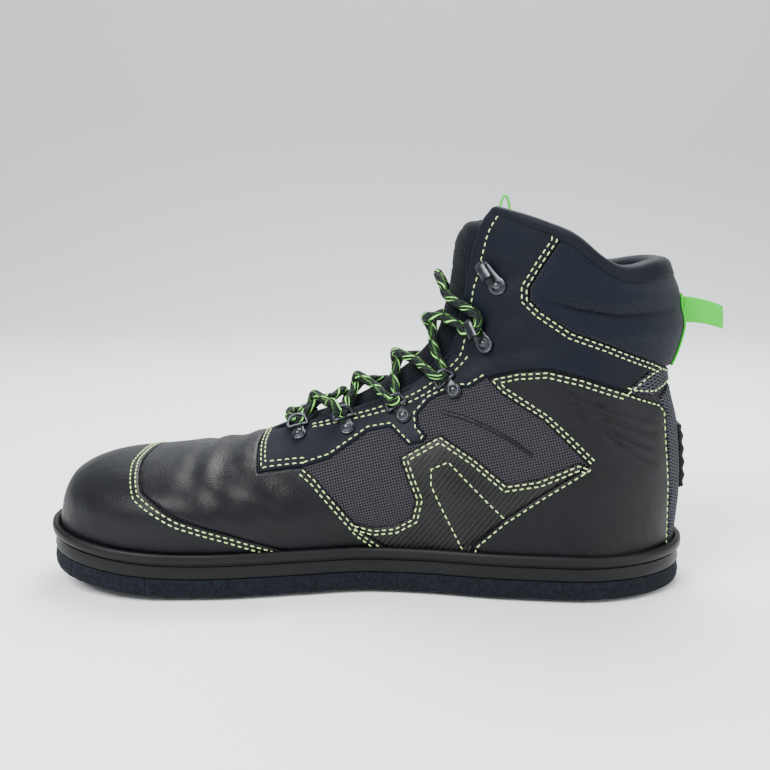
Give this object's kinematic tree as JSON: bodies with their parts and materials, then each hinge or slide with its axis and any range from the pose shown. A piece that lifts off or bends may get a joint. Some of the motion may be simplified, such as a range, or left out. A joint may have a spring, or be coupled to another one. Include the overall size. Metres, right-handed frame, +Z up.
{
  "type": "wading boot",
  "caption": "Right-hand ankle-high wading boot with a felt outsole and steel studs, padded collar, speed-hook lacing and webbing pull loops.",
  "frame": {"origin": "on the floor under the middle of the boot's outline, studs standing on Z = 0", "axes": "+X from toe to heel, the boot's length; -Y towards the medial side; +Z up"},
  "size_m": [0.339, 0.1292, 0.195],
  "materials": {
    "felt": "dense non-woven felt",
    "midsole_rubber": "matt moulded",
    "insole_fabric": "knitted cover on foam",
    "upper_mesh": "woven mesh over a dark lining",
    "tongue_fabric": "padded knit",
    "slate_leather": "coated leather, soft gloss",
    "navy_nubuck": "fine matt nap",
    "ribbed_leather": "embossed with fine ribs",
    "collar_knit": "soft knit over foam",
    "grey_webbing": "woven webbing",
    "green_webbing": "bright woven webbing",
    "lace_cord": "round braided cord with bright flecks",
    "gunmetal": "dark plated metal",
    "steel": "pressed and polished"
  },
  "bodies": {
    "root": {"felt_outsole": "felt", "midsole": "midsole_rubber", "insole": "insole_fabric", "upper": "upper_mesh", "tongue": "tongue_fabric", "toe_cap": "slate_leather", "vamp_overlay": "slate_leather", "counter_medial": "slate_leather", "counter_lateral": "slate_leather", "quarter_medial": "navy_nubuck", "quarter_lateral": "navy_nubuck", "midfoot_medial": "ribbed_leather", "midfoot_lateral": "ribbed_leather", "collar_pad": "collar_knit", "heel_strap": "grey_webbing", "backstay": "grey_webbing", "heel_lug": "midsole_rubber", "tongue_loop": "green_webbing", "heel_loop": "green_webbing", "eyelet_1_medial": "gunmetal", "eyelet_1_lateral": "gunmetal", "eyelet_2_medial": "gunmetal", "eyelet_2_lateral": "gunmetal", "eyelet_3_medial": "gunmetal", "eyelet_3_lateral": "gunmetal", "eyelet_4_medial": "gunmetal", "eyelet_4_lateral": "gunmetal", "hook_1_medial": "gunmetal", "hook_1_lateral": "gunmetal", "hook_2_medial": "gunmetal", "hook_2_lateral": "gunmetal", "lace_bar_1": "lace_cord", "lace_bar_2": "lace_cord", "lace_crossing_1": "lace_cord", "lace_crossing_2": "lace_cord", "lace_crossing_3": "lace_cord", "lace_crossing_4": "lace_cord", "stud_heel_1": "steel", "stud_heel_2": "steel", "stud_heel_3": "steel", "stud_heel_4": "steel", "stud_medial_1": "steel", "stud_medial_2": "steel", "stud_medial_3": "steel", "stud_medial_4": "steel", "stud_lateral_1": "steel", "stud_lateral_2": "steel", "stud_lateral_3": "steel", "stud_lateral_4": "steel"}
  },
  "joints": []
}
